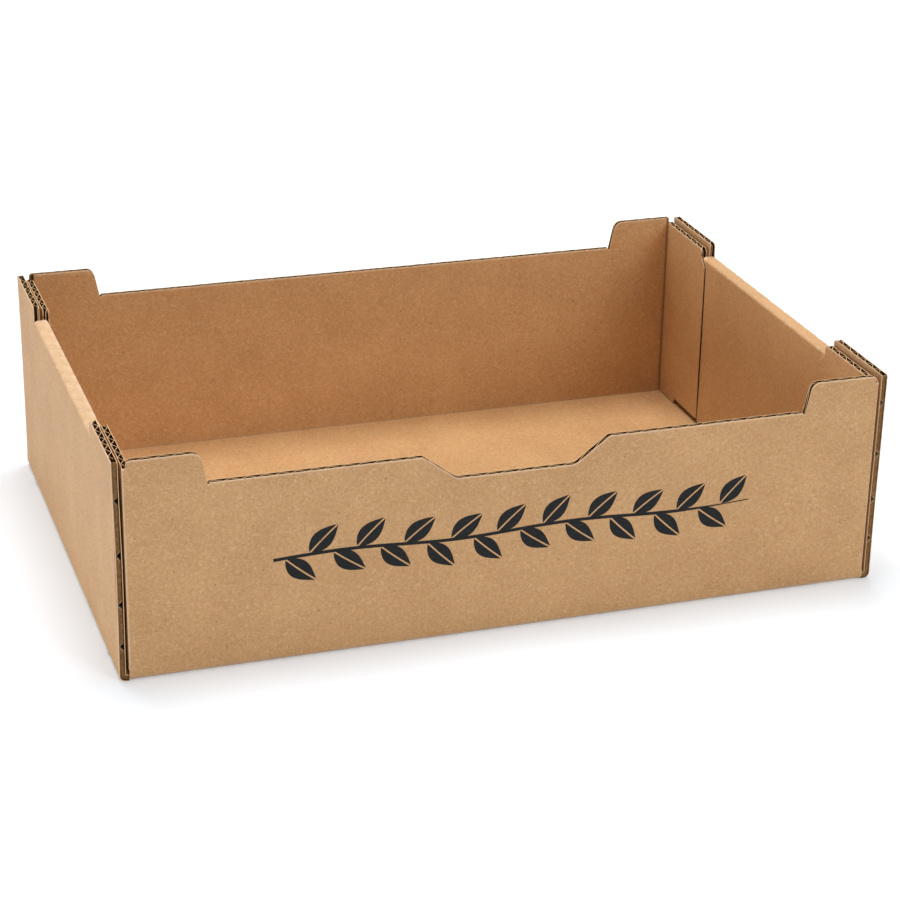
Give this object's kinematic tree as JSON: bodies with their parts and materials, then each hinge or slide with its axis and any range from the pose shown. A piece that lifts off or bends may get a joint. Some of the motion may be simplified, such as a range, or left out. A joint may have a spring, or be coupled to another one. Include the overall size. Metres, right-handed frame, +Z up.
{
  "type": "cardboard tray box",
  "caption": "Open stackable tray of kraft corrugated board, folded from one blank, with double side walls, raised corner ears and a hand dip in the front wall.",
  "frame": {"origin": "middle of the tray's underside", "axes": "+X along the long walls, to the right as the front wall is seen; +Y from the front wall to the back wall; +Z up"},
  "size_m": [0.295, 0.2, 0.085],
  "materials": {
    "kraft_board": "matte"
  },
  "bodies": {
    "root": {"tray": "kraft_board"}
  },
  "joints": []
}
